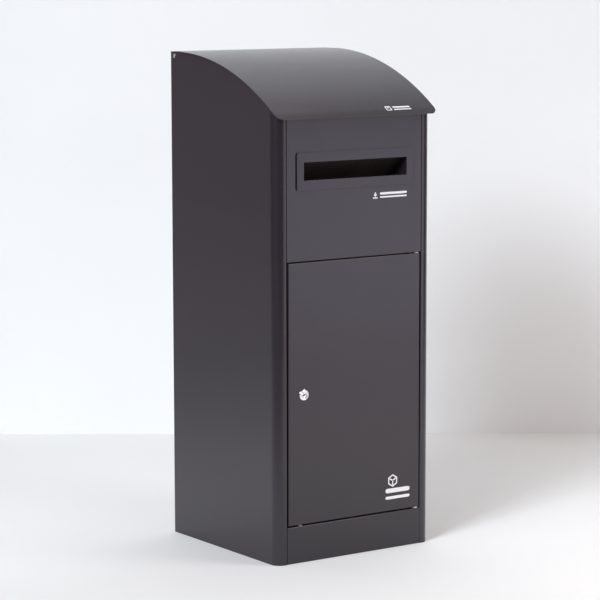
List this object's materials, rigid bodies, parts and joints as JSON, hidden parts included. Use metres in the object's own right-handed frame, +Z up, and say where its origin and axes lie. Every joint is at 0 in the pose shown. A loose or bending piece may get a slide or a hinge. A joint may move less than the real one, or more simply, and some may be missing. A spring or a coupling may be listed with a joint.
{
  "type": "parcel drop box",
  "caption": "Free-standing steel parcel drop box with a curved drop-in lid linked to an anti-retrieval tray, a letter slot, and a front collection door with a cam lock.",
  "frame": {"origin": "middle of the cabinet's underside, on the floor", "axes": "+Z up, the door and letter slot face -Y, +Y is the wall side, +X is the door's hinge side"},
  "size_m": [0.39, 0.3935, 1],
  "materials": {
    "powder_coat": "satin fine-texture anthracite powder coat",
    "zinc_plate": "bright zinc plate",
    "chrome": "polished",
    "nylon": "natural nylon",
    "rubber": "matte black"
  },
  "bodies": {
    "cabinet": {"left_side_panel": "powder_coat", "right_side_panel": "powder_coat", "rear_panel": "powder_coat", "rear_gutter": "powder_coat", "base_pan": "powder_coat", "front_plinth": "powder_coat", "letter_fascia": "powder_coat", "letter_bezel": "powder_coat", "letter_chute": "powder_coat", "tray_bracket_left": "zinc_plate", "tray_bracket_right": "zinc_plate", "tray_pivot_rod": "zinc_plate", "lid_hinge_bolt_left": "zinc_plate", "lid_hinge_bolt_right": "zinc_plate", "lid_hinge_nut_left": "zinc_plate", "lid_hinge_nut_right": "zinc_plate", "lid_hinge_washer_left": "nylon", "lid_hinge_washer_right": "nylon", "lid_buffer_left": "rubber", "lid_buffer_right": "rubber", "door_pin_lower": "zinc_plate", "door_pin_upper": "zinc_plate", "door_glide": "nylon", "door_buffer_lower": "rubber", "door_buffer_upper": "rubber"},
    "lid": {"lid_sheet": "powder_coat", "lid_front_rail": "powder_coat", "lid_arm_left": "zinc_plate", "lid_arm_right": "zinc_plate", "lid_link_pin_left": "zinc_plate", "lid_link_pin_right": "zinc_plate"},
    "link_left": {"link_bar_left": "zinc_plate"},
    "link_right": {"link_bar_right": "zinc_plate"},
    "tray": {"tray_plate": "powder_coat", "tray_front_rail": "powder_coat", "tray_arm_left": "zinc_plate", "tray_arm_right": "zinc_plate", "tray_link_pin_left": "zinc_plate", "tray_link_pin_right": "zinc_plate"},
    "door": {"door_skin": "powder_coat", "door_stiffener": "powder_coat", "door_bush_lower": "nylon", "door_bush_upper": "nylon", "lock_barrel": "chrome", "lock_nut": "zinc_plate"},
    "lock": {"lock_plug": "chrome", "lock_cam": "zinc_plate", "cam_screw": "zinc_plate"}
  },
  "joints": [
    {"name": "lid_hinge", "type": "hinge", "parent": "cabinet", "child": "lid", "pos_m": [0, 0.177, 0.991], "axis": [-1, 0, 0], "range_deg": [0, 70]},
    {"name": "tray_hinge", "type": "hinge", "parent": "cabinet", "child": "tray", "pos_m": [0, 0.172, 0.7], "axis": [-1, 0, 0], "range_deg": [0, 70]},
    {"name": "link_pivot_left", "type": "hinge", "parent": "lid", "child": "link_left", "pos_m": [-0.1815, 0.11966, 0.95085], "axis": [-1, 0, 0], "range_deg": [-70, 0]},
    {"name": "link_pivot_right", "type": "hinge", "parent": "lid", "child": "link_right", "pos_m": [0.1815, 0.11966, 0.95085], "axis": [-1, 0, 0], "range_deg": [-70, 0]},
    {"name": "door_hinge", "type": "hinge", "parent": "cabinet", "child": "door", "pos_m": [0.155, -0.183, 0.3375], "axis": [0, 0, 1], "range_deg": [0, 110]},
    {"name": "lock_turn", "type": "hinge", "parent": "door", "child": "lock", "pos_m": [-0.1245, -0.189, 0.337], "axis": [0, 1, 0], "range_deg": [0, 90]}
  ],
  "couplings": [
    {"joint": "tray_hinge", "follows": "lid_hinge", "ratio": 1},
    {"joint": "link_pivot_left", "follows": "lid_hinge", "ratio": -1},
    {"joint": "link_pivot_right", "follows": "lid_hinge", "ratio": -1}
  ]
}
